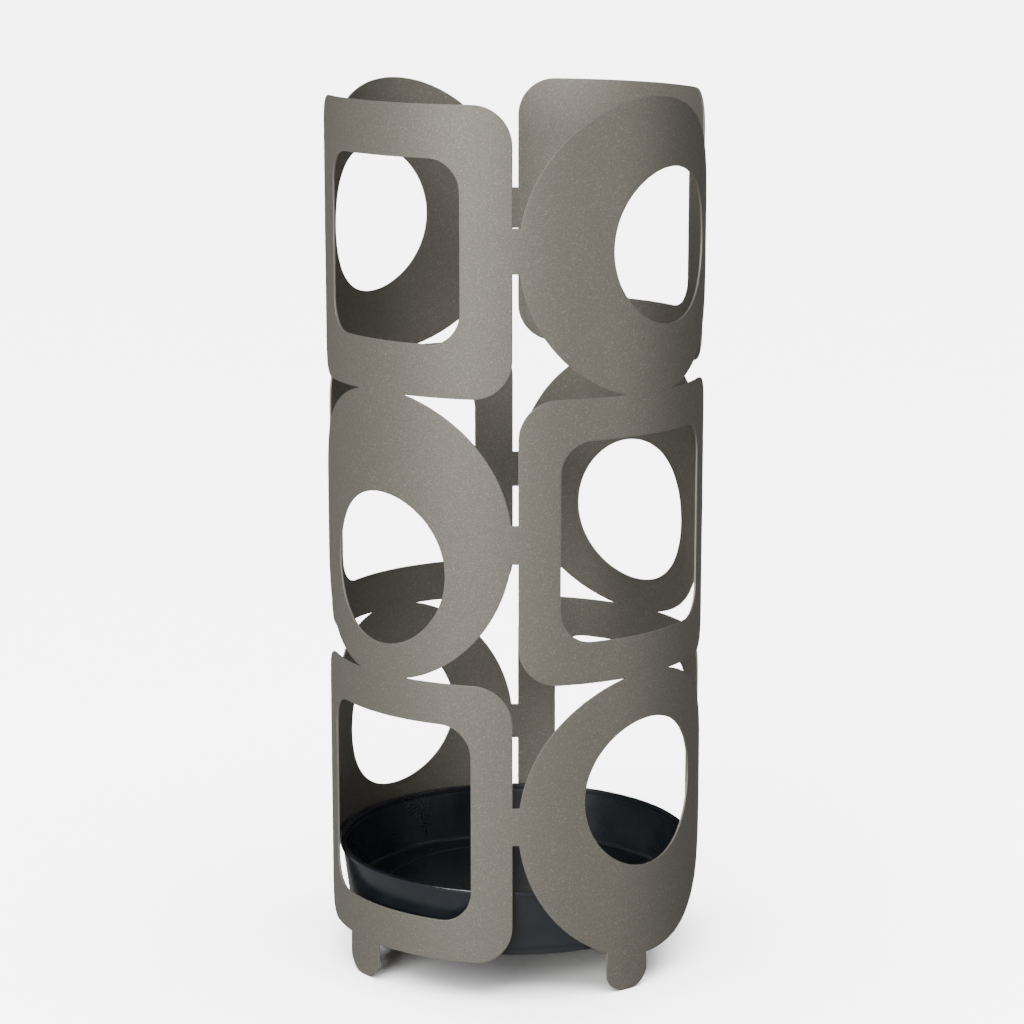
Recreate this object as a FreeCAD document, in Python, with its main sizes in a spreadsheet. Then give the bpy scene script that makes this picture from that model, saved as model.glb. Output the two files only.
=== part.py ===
import FreeCAD, Part
import Sketcher
import math
import os

from FreeCAD import Base, Placement, Rotation, Vector

# Umbrella stand: four rolled sheet-steel panels welded edge to edge into a round shell, each with
# one foot, a lift-out plastic drip tray, and a cross of flat bars that carries the tray.
# Millimetres. +Z is up, the floor is z = 0, and Z is the shell's axis.
# Seen from above, the front panel faces -Y and the right panel faces +X.

SIZES = {
    # shell
    "shell_radius": 110,
    "sheet_thickness": 1.2,
    "bottom_row_height": 164,
    "middle_row_height": 162.5,
    "top_row_height": 161,
    # panels: the slit is the narrow gap between two panels, the side gap the wide one
    "slit_width": 3.2,
    "side_gap": 20,
    "disc_side_gap": 12,
    "square_corner": 22.5,
    "neck_overlap": 2,
    "top_disc_rise": 2.5,
    "bottom_disc_drop": 3,
    # windows in the squares and the discs
    "top_frame_band": 29.5,
    "lower_frame_band": 24,
    "window_corner": 18.5,
    "disc_hole": 87.5,
    "top_hole_shift": 16.5,
    "middle_hole_drop": 19.5,
    "bottom_hole_rise": 12.5,
    # tabs and seam welds
    "tab_height": 22,
    "top_tab_extra": 3,
    "tab_overlap": 6,
    "seam_width": 0.8,
    # feet
    "foot_angle": 36.2,
    "foot_length": 22.5,
    "foot_width": 29,
    "foot_flat": 4,
    "foot_end_rise": 9,
    "foot_trim": 1,
    "foot_overlap": 12,
    # bars under the tray
    "seat_rise": 0.5,
    "bar_width": 20,
    "bar_thickness": 3,
    "bar_bend": 3,
    "bar_upturn": 15,
    "bead_radius": 2,
    "bead_length": 8,
    "underside_bead": 1.5,
    "underside_bead_inset": 2,
    # drip tray
    "tray_gap": 3.5,
    "tray_height": 41.5,
    "tray_taper": 4.3,
    "tray_wall": 1.8,
    "tray_floor": 2,
    "tray_recess": 6.5,
    "foot_band_wall": 2.2,
    "foot_band_height": 6.4,
    "foot_band_step": 3.8,
    "lip_depth": 2.6,
    "lip_overhang": 1.2,
    "inner_step_depth": 3.5,
    "inner_step": 0.4,
    "floor_ring_inset": 15,
    "floor_ring_width": 3,
    "floor_ring_height": 0.8,
    "lip_round": 0.7,
    "base_round": 1.2,
    "floor_round": 2.5,
}

# The panels, by the angle of their left seam as seen from outside (anticlockwise from above).
# "squares" panels run square, disc, square from the top and have their slit on the right.
# "discs" panels run disc, square, disc and have their slit on the left.
PANELS = {
    "front_panel": ("squares", -135),
    "right_panel": ("discs", -45),
    "rear_panel": ("squares", 45),
    "left_panel": ("discs", 135),
}

SEAMS = {
    "front_right_seam_welds": -45,
    "rear_right_seam_welds": 45,
    "rear_left_seam_welds": 135,
    "front_left_seam_welds": -135,
}

# rolling: the longest step between points along a curve, the least number of steps, the border
# that the cylinder patch keeps round the outline in radians, and the area check in square mm
CURVE_STEP = 4.0
LEAST_STEPS = 12
PATCH_BORDER = 0.1
AREA_TOLERANCE = 1.0
OFFSET_TOLERANCE = 0.001
# how near a point or a radius is to be the one meant
NEAR = 1e-3

doc = FreeCAD.newDocument("umbrella_stand")


def make_sheet():
    """Write the driving sizes into the document's spreadsheet, one alias to a row."""
    sheet = doc.addObject("Spreadsheet::Sheet", "Sizes")
    for row, (alias, value) in enumerate(SIZES.items(), start=1):
        sheet.set(f"A{row}", alias)
        sheet.set(f"B{row}", str(value))
        sheet.setAlias(f"B{row}", alias)
    doc.recompute()
    return sheet


sheet = make_sheet()


def size(alias):
    """One size from the sheet, as a plain number."""
    return float(getattr(sheet, alias))


def bind(obj, **expressions):
    """Bind properties of an object to the sheet; a double underscore stands for a dot."""
    for prop, expression in expressions.items():
        obj.setExpression(prop.replace("__", "."), expression)


def finished(obj, label):
    """Name an object that is one of the stand's pieces."""
    obj.Label = label
    return obj


# ---------------------------------------------------------------- flat outlines of the panels
# x runs from a panel's left seam to its right seam, y up from the floor.


def outline(edges):
    return Part.Face(Part.Wire(Part.__sortEdges__(edges)))


def strip(left, low, right, high):
    corners = [(left, low), (right, low), (right, high), (left, high), (left, low)]
    return Part.Face(Part.makePolygon([Vector(x, y) for x, y in corners]))


def rounded_square(left, low, right, high, radius):
    """A rectangle with four round corners."""
    centres = [
        (right - radius, high - radius, 0),
        (left + radius, high - radius, 90),
        (left + radius, low + radius, 180),
        (right - radius, low + radius, 270),
    ]
    arcs = []
    for x, y, start in centres:
        angles = [math.radians(start + turn) for turn in (0, 45, 90)]
        arcs.append([Vector(x + radius * math.cos(a), y + radius * math.sin(a)) for a in angles])
    edges = [Part.Arc(*points).toShape() for points in arcs]
    for this, following in zip(arcs, arcs[1:] + arcs[:1]):
        edges.append(Part.makeLine(this[2], following[0]))
    return outline(edges)


def oval(x, y, width, height):
    """A disc, or an ellipse where its width and height differ."""
    if abs(width - height) < NEAR:
        curve = Part.Circle(Vector(x, y), Vector(0, 0, 1), width / 2)
    elif width > height:
        curve = Part.Ellipse(Vector(x + width / 2, y), Vector(x, y + height / 2), Vector(x, y))
    else:
        curve = Part.Ellipse(Vector(x, y + height / 2), Vector(x - width / 2, y), Vector(x, y))
    return outline([curve.toShape()])


def foot(x):
    """A tongue that hangs below the panel, with a round end and a short flat to stand on."""
    half_width = size("foot_width") / 2
    half_flat = size("foot_flat") / 2
    rise = size("foot_end_rise")
    reach = half_width - half_flat
    radius = (reach**2 + rise**2) / (2 * rise)
    half_turn = math.asin(reach / radius) / 2
    middle_x = half_flat + radius * math.sin(half_turn)
    middle_y = radius - radius * math.cos(half_turn)
    top = size("foot_length") + size("foot_overlap")
    edges = []
    for side in (1, -1):
        toe = Vector(x + side * half_flat, 0)
        bulge = Vector(x + side * middle_x, middle_y)
        shoulder = Vector(x + side * half_width, rise)
        edges.append(Part.Arc(toe, bulge, shoulder).toShape())
        edges.append(Part.makeLine(shoulder, Vector(x + side * half_width, top)))
    edges.append(Part.makeLine(Vector(x - half_width, top), Vector(x + half_width, top)))
    edges.append(Part.makeLine(Vector(x - half_flat, 0), Vector(x + half_flat, 0)))
    return outline(edges)


def row_levels():
    """Floor and ceiling of the bottom, middle and top rows."""
    levels = [size("foot_length")]
    for row in ("bottom", "middle", "top"):
        levels.append(levels[-1] + size(row + "_row_height"))
    return {
        "bottom": (levels[0], levels[1]),
        "middle": (levels[1], levels[2]),
        "top": (levels[2], levels[3]),
    }


def square_motif(row, left, right, low, high):
    """A square frame and its window."""
    band = size("top_frame_band") if row == "top" else size("lower_frame_band")
    frame = rounded_square(left, low, right, high, size("square_corner"))
    window = rounded_square(left + band, low + band, right - band, high - band, size("window_corner"))
    return frame, window


def disc_motif(row, left, right, low, high, outward):
    """A disc and its hole; outward is +1 where the side gap is on the right, else -1."""
    overlap = size("neck_overlap")
    rise = size("top_disc_rise") if row == "top" else overlap
    drop = size("bottom_disc_drop") if row == "bottom" else overlap
    centre_x = (left + right) / 2
    centre_y = (low - drop + high + rise) / 2
    disc = oval(centre_x, centre_y, right - left, high + rise - low + drop)
    shift_x = {"top": outward * size("top_hole_shift")}.get(row, 0)
    shift_y = {"middle": -size("middle_hole_drop"), "bottom": size("bottom_hole_rise")}.get(row, 0)
    middle = (low + high) / 2
    hole = oval(centre_x + shift_x, middle + shift_y, size("disc_hole"), size("disc_hole"))
    return disc, hole


def flat_panel(pattern):
    """One panel laid flat: three motifs, six half tabs and a foot, less the three windows.

    The foot has a short stub below its flat, which make_panels trims off at the floor.
    """
    width = size("shell_radius") * math.pi / 2
    slit_on_left = pattern == "discs"
    outward = 1 if slit_on_left else -1
    shapes = []
    windows = []
    for row, (low, high) in row_levels().items():
        is_disc = (row == "middle") != (pattern == "discs")
        slit_margin = size("slit_width") / 2
        side_margin = size("disc_side_gap" if is_disc else "side_gap") / 2
        left = slit_margin if slit_on_left else side_margin
        right = width - (side_margin if slit_on_left else slit_margin)
        if is_disc:
            motif, window = disc_motif(row, left, right, low, high, outward)
        else:
            motif, window = square_motif(row, left, right, low, high)
        tab_low = (low + high - size("tab_height")) / 2
        tab_high = tab_low + size("tab_height") + (size("top_tab_extra") if row == "top" else 0)
        seam = size("seam_width") / 2
        overlap = size("tab_overlap")
        shapes.append(motif)
        shapes.append(strip(seam, tab_low, left + overlap, tab_high))
        shapes.append(strip(right - overlap, tab_low, width - seam, tab_high))
        windows.append(window)
    foot_x = size("shell_radius") * math.radians(size("foot_angle"))
    half_flat = size("foot_flat") / 2
    trim = size("foot_trim")
    shapes.append(foot(foot_x))
    shapes.append(strip(foot_x - half_flat, -trim, foot_x + half_flat, trim))
    blank = shapes[0].fuse(shapes[1:]).removeSplitter().cut(windows)
    if len(blank.Faces) != 1:
        raise RuntimeError(f"the {pattern} panel is in {len(blank.Faces)} separate parts")
    return blank.Faces[0]


# ---------------------------------------------------------------- rolling a flat outline


def rolled_edge(edge, surface, radius):
    """Wrap a flat edge round a cylinder: x becomes the angle, y the height."""
    first, last = edge.ParameterRange
    is_line = isinstance(edge.Curve, Part.Line)
    count = 1 if is_line else max(LEAST_STEPS, int(edge.Length / CURVE_STEP))
    points = [edge.valueAt(first + (last - first) * step / count) for step in range(count + 1)]
    wrapped = [Base.Vector2d(point.x / radius, point.y) for point in points]
    if is_line:
        return Part.Geom2d.Line2dSegment(wrapped[0], wrapped[1]).toShape(surface)
    curve = Part.Geom2d.BSplineCurve2d()
    parameters = [edge.Length * step / count for step in range(count + 1)]
    curve.interpolate(Points=wrapped, Parameters=parameters)
    return curve.toShape(surface)


def rolled_sheet(flat, radius, thickness):
    """Roll a flat face to an outer radius and give it its thickness, inwards."""
    surface = Part.Cylinder()
    surface.Radius = radius
    box = flat.BoundBox
    turn = box.XMax / radius
    patch = surface.toShape(-PATCH_BORDER, turn + PATCH_BORDER, box.YMin - radius, box.YMax + radius)
    wires = []
    for wire in flat.Wires:
        wires.append(Part.Wire([rolled_edge(edge, surface, radius) for edge in wire.OrderedEdges]))
    pieces = patch.generalFuse(wires)[0].Faces
    skin = min(pieces, key=lambda piece: abs(piece.Area - flat.Area))
    if abs(skin.Area - flat.Area) > AREA_TOLERANCE:
        raise RuntimeError("the rolled face lost area")
    return skin.makeOffsetShape(-thickness, OFFSET_TOLERANCE, fill=True)


def make_panels():
    """Roll both patterns, trim the foot ends flat at the floor, and set out the four panels."""
    blanks = {pattern: flat_panel(pattern) for pattern in ("squares", "discs")}
    across = 2 * size("shell_radius")
    below_floor = Part.makeBox(2 * across, 2 * across, across, Vector(-across, -across, -across))
    rolled = {}
    for pattern, blank in blanks.items():
        sheet_metal = rolled_sheet(blank, size("shell_radius"), size("sheet_thickness"))
        rolled[pattern] = sheet_metal.cut(below_floor)
    panels = []
    for label, (pattern, seam_angle) in PANELS.items():
        panel = doc.addObject("Part::Feature", label)
        panel.Shape = rolled[pattern]
        panel.Placement = Placement(Vector(), Rotation(Vector(0, 0, 1), seam_angle))
        panels.append(finished(panel, label))
    return panels


# ---------------------------------------------------------------- seam welds

INNER_RADIUS = "(Sizes.shell_radius - Sizes.sheet_thickness)"


def upright(label, radius, height, x="0", y="0", z="0"):
    """A cylinder along Z whose sizes and place are expressions."""
    cylinder = doc.addObject("Part::Cylinder", label)
    bind(cylinder, Radius=radius, Height=height)
    bind(cylinder, Placement__Base__x=x, Placement__Base__y=y, Placement__Base__z=z)
    return cylinder


def block(label, length, width, height, x="0", y="0", z="0"):
    """A box whose sizes and low corner are expressions."""
    box = doc.addObject("Part::Box", label)
    bind(box, Length=length, Width=width, Height=height)
    bind(box, Placement__Base__x=x, Placement__Base__y=y, Placement__Base__z=z)
    return box


def fused(label, shapes):
    result = doc.addObject("Part::MultiFuse", label)
    result.Shapes = shapes
    return result


def shared(label, shapes):
    result = doc.addObject("Part::MultiCommon", label)
    result.Shapes = shapes
    return result


def less(label, base, tool):
    result = doc.addObject("Part::Cut", label)
    result.Base = base
    result.Tool = tool
    return result


def turned(obj, angle):
    """Turn an object about the shell's axis, by an expression in degrees."""
    bind(obj, Placement__Rotation__Angle=angle)
    return obj


def make_seam_welds():
    """Flush butt welds: each fills the gap between two tabs, one to a row."""
    below_middle = "Sizes.foot_length + Sizes.bottom_row_height"
    below_top = f"{below_middle} + Sizes.middle_row_height"
    top = f"{below_top} + Sizes.top_row_height"
    middles = {
        "bottom": "(Sizes.foot_length + Sizes.bottom_row_height / 2)",
        "middle": f"({below_middle} + Sizes.middle_row_height / 2)",
        "top": f"({below_top} + Sizes.top_row_height / 2)",
    }
    width = "Sizes.seam_width / Sizes.shell_radius * 180 / pi"
    seams = []
    for label, seam_angle in SEAMS.items():
        bars = []
        for row, middle in middles.items():
            low = f"{middle} - Sizes.tab_height / 2"
            height = "Sizes.tab_height"
            if row == "top":
                height += " + Sizes.top_tab_extra"
            bar = upright(f"{label}_{row}", "Sizes.shell_radius", height, z=low)
            bind(bar, Angle=width)
            bars.append(bar)
        core = upright(f"{label}_core", INNER_RADIUS, top)
        seam = less(label + "_cut", fused(label + "_bars", bars), core)
        seams.append(finished(turned(seam, f"{seam_angle} - {width} / 2"), label))
    return seams


# ---------------------------------------------------------------- bars under the tray
# The bars are drawn with the long bar along X, then turned to meet the feet.

CROSS_ANGLE = "Sizes.foot_angle - 45"
HALF_WIDTH = "Sizes.bar_width / 2"
SEAT = "(Sizes.foot_length + Sizes.seat_rise)"
UNDERSIDE = f"({SEAT} - Sizes.bar_thickness)"
# A flat upturn meets the round shell along its two upright edges.
REACH = f"sqrt({INNER_RADIUS} ^ 2 - ({HALF_WIDTH}) ^ 2)"


def edges_along(shape, direction, places):
    """Numbers of the straight edges that run along a direction through given points."""
    found = []
    for number, edge in enumerate(shape.Edges, start=1):
        middle = edge.valueAt(sum(edge.ParameterRange) / 2)
        along = abs(edge.tangentAt(edge.FirstParameter).dot(direction)) > 1 - NEAR
        near = any((middle - Vector(*place)).Length < NEAR for place in places)
        if along and near:
            found.append(number)
    if len(found) != len(places):
        raise RuntimeError(f"{len(found)} edges found for {len(places)} bends")
    return found


def bent(label, blank, direction, outer, inner):
    """Round the outside and the inside of a bar's bends."""
    doc.recompute()
    bend = size("bar_bend")
    rounds = []
    for places, radius in ((outer, bend + size("bar_thickness")), (inner, bend)):
        for number in edges_along(blank.Shape, direction, places):
            rounds.append((number, radius))
    bar = doc.addObject("Part::Fillet", label + "_bent")
    bar.Base = blank
    bar.Edges = [(number, radius, radius) for number, radius in rounds]
    return bar


def make_bars():
    """One long bar with both ends turned up, and two short ones butted against its sides."""
    thickness = "Sizes.bar_thickness"
    upturn = "Sizes.bar_upturn"
    inner_radius = size("shell_radius") - size("sheet_thickness")
    reach = math.sqrt(inner_radius**2 - (size("bar_width") / 2) ** 2)
    seat = size("foot_length") + size("seat_rise")
    under = seat - size("bar_thickness")
    inside = reach - size("bar_thickness")

    flat = block("long_bar_flat", f"2 * {REACH}", "Sizes.bar_width", thickness,
                 f"-{REACH}", f"-{HALF_WIDTH}", UNDERSIDE)
    ends = [
        block("long_bar_right_end", thickness, "Sizes.bar_width", upturn,
              f"{REACH} - {thickness}", f"-{HALF_WIDTH}", UNDERSIDE),
        block("long_bar_left_end", thickness, "Sizes.bar_width", upturn,
              f"-{REACH}", f"-{HALF_WIDTH}", UNDERSIDE),
    ]
    blank = fused("long_bar_blank", [flat] + ends)
    blank.Refine = True
    long_bar = bent("long_bar", blank, Vector(0, 1, 0),
                    [(reach, 0, under), (-reach, 0, under)],
                    [(inside, 0, seat), (-inside, 0, seat)])
    bars = [finished(turned(long_bar, CROSS_ANGLE), "long_support_bar")]

    for label, extra_turn in (("rear_support_bar", 90), ("front_support_bar", -90)):
        flat = block(label + "_flat", f"{REACH} - {HALF_WIDTH}", "Sizes.bar_width", thickness,
                     HALF_WIDTH, f"-{HALF_WIDTH}", UNDERSIDE)
        end = block(label + "_end", thickness, "Sizes.bar_width", upturn,
                    f"{REACH} - {thickness}", f"-{HALF_WIDTH}", UNDERSIDE)
        blank = fused(label + "_blank", [flat, end])
        blank.Refine = True
        bar = bent(label, blank, Vector(0, 1, 0), [(reach, 0, under)], [(inside, 0, seat)])
        bars.append(finished(turned(bar, f"{CROSS_ANGLE} + {extra_turn}"), label))
    return bars


def make_bar_welds():
    """Upright beads either side of each upturn, and beads under the middle of the cross."""
    top = f"({UNDERSIDE} + Sizes.bar_upturn)"
    inside_face = f"({REACH} - Sizes.bar_thickness)"
    beads = []
    uprights = []
    for quarter in range(4):
        angle = f"{90 * quarter}"
        for side in (1, -1):
            name = f"end_bead_{quarter}_{'left' if side > 0 else 'right'}"
            x = f"cos({angle}) * {REACH} - sin({angle}) * {side} * {HALF_WIDTH}"
            y = f"sin({angle}) * {REACH} + cos({angle}) * {side} * {HALF_WIDTH}"
            beads.append(upright(name, "Sizes.bead_radius", "Sizes.bead_length", x, y,
                                 f"{top} - Sizes.bead_length"))
        end = block(f"end_shape_{quarter}",
                    "2 * Sizes.bar_thickness", "Sizes.bar_width", "Sizes.bar_upturn",
                    f"cos({angle}) * {inside_face} + sin({angle}) * {HALF_WIDTH}",
                    f"sin({angle}) * {inside_face} - cos({angle}) * {HALF_WIDTH}",
                    UNDERSIDE)
        uprights.append(turned(end, angle))
    inside = upright("shell_inside", INNER_RADIUS, f"{top} + Sizes.bead_length")
    trimmed = shared("end_beads_trimmed", [fused("end_beads", beads), inside])
    end_welds = less("end_welds", trimmed, fused("end_shapes", uprights))

    bead_start = f"-{HALF_WIDTH} + Sizes.underside_bead_inset"
    centre = []
    for side in (1, -1):
        bead = upright(f"centre_bead_{'rear' if side > 0 else 'front'}", "Sizes.underside_bead",
                       "Sizes.bar_width - 2 * Sizes.underside_bead_inset",
                       bead_start, f"{side} * {HALF_WIDTH}", UNDERSIDE)
        bead.Placement = Placement(bead.Placement.Base, Rotation(Vector(0, 1, 0), 90))
        centre.append(bead)
    above = block("above_underside", "4 * Sizes.bar_width", "4 * Sizes.bar_width", "Sizes.bar_width",
                  "-2 * Sizes.bar_width", "-2 * Sizes.bar_width", UNDERSIDE)
    centre_welds = less("centre_weld_cut", fused("centre_beads", centre), above)
    return [
        finished(turned(end_welds, CROSS_ANGLE), "bar_end_welds"),
        finished(turned(centre_welds, CROSS_ANGLE), "bar_centre_welds"),
    ]


# ---------------------------------------------------------------- drip tray


def origin_plane(body, role):
    return next(feature for feature in body.Origin.OriginFeatures if feature.Role == role)


def turned_profile(body, name, corners):
    """A closed outline on the body's XZ plane, bound to the sheet corner by corner."""
    sketch = body.newObject("Sketcher::SketchObject", name)
    sketch.AttachmentSupport = (origin_plane(body, "XZ_Plane"), [""])
    sketch.MapMode = "FlatFace"
    places = [Vector(*[float(sketch.evalExpression(value)) for value in corner]) for corner in corners]
    for start, end in zip(places, places[1:] + places[:1]):
        sketch.addGeometry(Part.LineSegment(start, end), False)
    count = len(corners)
    for index in range(count):
        sketch.addConstraint(Sketcher.Constraint("Coincident", index, 2, (index + 1) % count, 1))
    for index, (across, up) in enumerate(corners):
        for kind, axis, expression in (("DistanceX", -2, across), ("DistanceY", -1, up)):
            if expression == "0":
                sketch.addConstraint(Sketcher.Constraint("PointOnObject", index, 1, axis))
                continue
            value = places[index].x if kind == "DistanceX" else places[index].y
            number = sketch.addConstraint(Sketcher.Constraint(kind, -1, 1, index, 1, value))
            sketch.setExpression(f"Constraints[{number}]", expression)
    return sketch


def ring_edges(shape, places):
    """Names of the circular edges at given radii and heights."""
    names = []
    for radius, height in places:
        for number, edge in enumerate(shape.Edges, start=1):
            if not isinstance(edge.Curve, Part.Circle):
                continue
            at_radius = abs(edge.Curve.Radius - radius) < NEAR
            if at_radius and abs(edge.Curve.Center.z - height) < NEAR:
                names.append(f"Edge{number}")
    if len(names) != len(places):
        raise RuntimeError(f"{len(names)} ring edges found for {len(places)} rounds")
    return names


def make_tray():
    """A round moulded tray with a narrow lip, a raised floor with a ring on it, and a foot band."""
    body = doc.addObject("PartDesign::Body", "drip_tray_body")
    rim = f"({INNER_RADIUS} - Sizes.tray_gap)"
    ledge = f"({rim} - Sizes.lip_overhang - Sizes.tray_taper)"
    band = f"({ledge} - Sizes.foot_band_step)"
    top = "Sizes.tray_height"
    lip_inner = f"({rim} - Sizes.lip_overhang - Sizes.tray_wall)"
    floor_corner = f"({ledge} - Sizes.tray_wall)"
    floor = "(Sizes.tray_recess + Sizes.tray_floor)"
    ring_outer = f"({floor_corner} - Sizes.floor_ring_inset)"
    ring_inner = f"({ring_outer} - Sizes.floor_ring_width)"
    ring_top = f"({floor} + Sizes.floor_ring_height)"
    corners = [
        ("0", "Sizes.tray_recess"),
        (f"{band} - Sizes.foot_band_wall", "Sizes.tray_recess"),
        (f"{band} - Sizes.foot_band_wall", "0"),
        (band, "0"),
        (band, "Sizes.foot_band_height"),
        (ledge, "Sizes.foot_band_height"),
        (f"{rim} - Sizes.lip_overhang", f"{top} - Sizes.lip_depth"),
        (rim, f"{top} - Sizes.lip_depth"),
        (rim, top),
        (lip_inner, top),
        (lip_inner, f"{top} - Sizes.inner_step_depth"),
        (f"{lip_inner} - Sizes.inner_step", f"{top} - Sizes.inner_step_depth"),
        (floor_corner, floor),
        (ring_outer, floor),
        (ring_outer, ring_top),
        (ring_inner, ring_top),
        (ring_inner, floor),
        ("0", floor),
    ]
    sketch = turned_profile(body, "tray_section", corners)
    revolution = body.newObject("PartDesign::Revolution", "tray_wall_and_floor")
    revolution.Profile = sketch
    revolution.ReferenceAxis = (sketch, ["V_Axis"])
    revolution.Angle = 360
    doc.recompute()

    def value(expression):
        return float(sketch.evalExpression(expression))

    rounds = [
        ("lip_rounds", "Sizes.lip_round", [(rim, top), (lip_inner, top)]),
        ("base_round", "Sizes.base_round", [(band, "0")]),
        ("floor_round", "Sizes.floor_round", [(floor_corner, floor)]),
    ]
    last = revolution
    for name, radius, places in rounds:
        fillet = body.newObject("PartDesign::Fillet", name)
        places = [(value(across), value(up)) for across, up in places]
        fillet.Base = (last, ring_edges(last.Shape, places))
        bind(fillet, Radius=radius)
        doc.recompute()
        last = fillet
    body.Tip = last
    bind(body, Placement__Base__z=SEAT)
    return finished(body, "drip_tray")


# ---------------------------------------------------------------- check and write


def check_document():
    for obj in doc.Objects:
        if "Invalid" in obj.State or "Error" in obj.State:
            raise RuntimeError(f"{obj.Label} failed: {obj.State}")


def main():
    pieces = make_panels() + make_seam_welds() + make_bars() + make_bar_welds() + [make_tray()]
    doc.recompute()
    check_document()
    for piece in pieces:
        if piece.Shape.isNull() or not piece.Shape.isValid():
            raise RuntimeError(f"{piece.Label} has no valid shape")
    os.makedirs("parts", exist_ok=True)
    for piece in pieces:
        piece.Shape.exportStep(f"parts/{piece.Label}.step")
        print(f"{piece.Label}: {len(piece.Shape.Solids)} solids, {piece.Shape.Volume:.0f} mm3", flush=True)


main()
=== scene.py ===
import math

import bpy
from mathutils import Matrix, Vector, geometry


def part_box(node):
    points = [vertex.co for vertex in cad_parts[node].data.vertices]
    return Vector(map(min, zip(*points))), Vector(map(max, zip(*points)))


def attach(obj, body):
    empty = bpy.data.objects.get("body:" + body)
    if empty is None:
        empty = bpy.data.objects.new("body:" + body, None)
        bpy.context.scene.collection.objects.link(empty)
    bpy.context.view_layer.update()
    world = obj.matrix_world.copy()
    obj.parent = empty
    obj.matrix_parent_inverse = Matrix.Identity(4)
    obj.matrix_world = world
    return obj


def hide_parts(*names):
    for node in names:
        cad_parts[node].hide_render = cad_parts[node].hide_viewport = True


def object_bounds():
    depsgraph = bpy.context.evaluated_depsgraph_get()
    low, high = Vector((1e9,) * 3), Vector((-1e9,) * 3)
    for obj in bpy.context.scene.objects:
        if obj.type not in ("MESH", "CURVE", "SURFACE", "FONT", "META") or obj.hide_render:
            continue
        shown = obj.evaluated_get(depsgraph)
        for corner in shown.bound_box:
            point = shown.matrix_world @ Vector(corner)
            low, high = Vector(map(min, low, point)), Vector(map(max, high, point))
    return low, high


bl_info = {
    "name": "Pierced Umbrella Stand",
    "version": (1, 0, 0),
    "blender": (4, 5, 0),
    "location": "3D View > Sidebar > Umbrella Stand",
    "description": "Builds a round umbrella stand of rolled, pierced sheet steel with a drip tray",
    "category": "Add Mesh",
}

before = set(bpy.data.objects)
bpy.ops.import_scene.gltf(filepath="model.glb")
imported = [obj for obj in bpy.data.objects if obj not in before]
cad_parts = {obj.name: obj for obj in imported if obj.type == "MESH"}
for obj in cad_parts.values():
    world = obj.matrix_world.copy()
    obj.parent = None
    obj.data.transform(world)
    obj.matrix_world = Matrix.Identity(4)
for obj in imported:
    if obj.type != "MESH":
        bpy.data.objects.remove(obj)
CAD_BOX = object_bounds()

# Metres, +Z up. The shell's axis is Z and the floor is z = 0.
# A panel is drawn flat, x from its left seam as seen from outside and y up from the floor,
# and is then rolled: x becomes an angle about Z. The seam angles are measured from +X.
PANELS = {
    "front_panel": ("squares", -135),
    "right_panel": ("discs", -45),
    "rear_panel": ("squares", 45),
    "left_panel": ("discs", 135),
}
SEAMS = {
    "front_right_seam_welds": -45,
    "rear_right_seam_welds": 45,
    "rear_left_seam_welds": 135,
    "front_left_seam_welds": -135,
}
ROWS = ("bottom", "middle", "top")
SHARP_ANGLE = math.radians(50)


def farthest_radius(node):
    """The distance from the axis to a node's outermost point."""
    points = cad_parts[node].data.vertices
    return round(max(math.hypot(point.co.x, point.co.y) for point in points), 5)


# ---------------------------------------------------------------- sizes and looks


def length(name, description, default):
    return bpy.props.FloatProperty(
        name=name, description=description, default=default, precision=5, subtype="DISTANCE", unit="LENGTH"
    )


def angle(name, description, default):
    return bpy.props.FloatProperty(
        name=name, description=description, default=math.radians(default), subtype="ANGLE", unit="ROTATION"
    )


def share(name, description, default):
    return bpy.props.FloatProperty(
        name=name, description=description, default=default, min=0, max=1, subtype="FACTOR"
    )


def number(name, description, default):
    return bpy.props.FloatProperty(name=name, description=description, default=default)


def count(name, description, default):
    return bpy.props.IntProperty(name=name, description=description, default=default, min=1)


def colour(name, description, default):
    return bpy.props.FloatVectorProperty(
        name=name, description=description, default=default, size=3, min=0, max=1, subtype="COLOR"
    )


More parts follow.
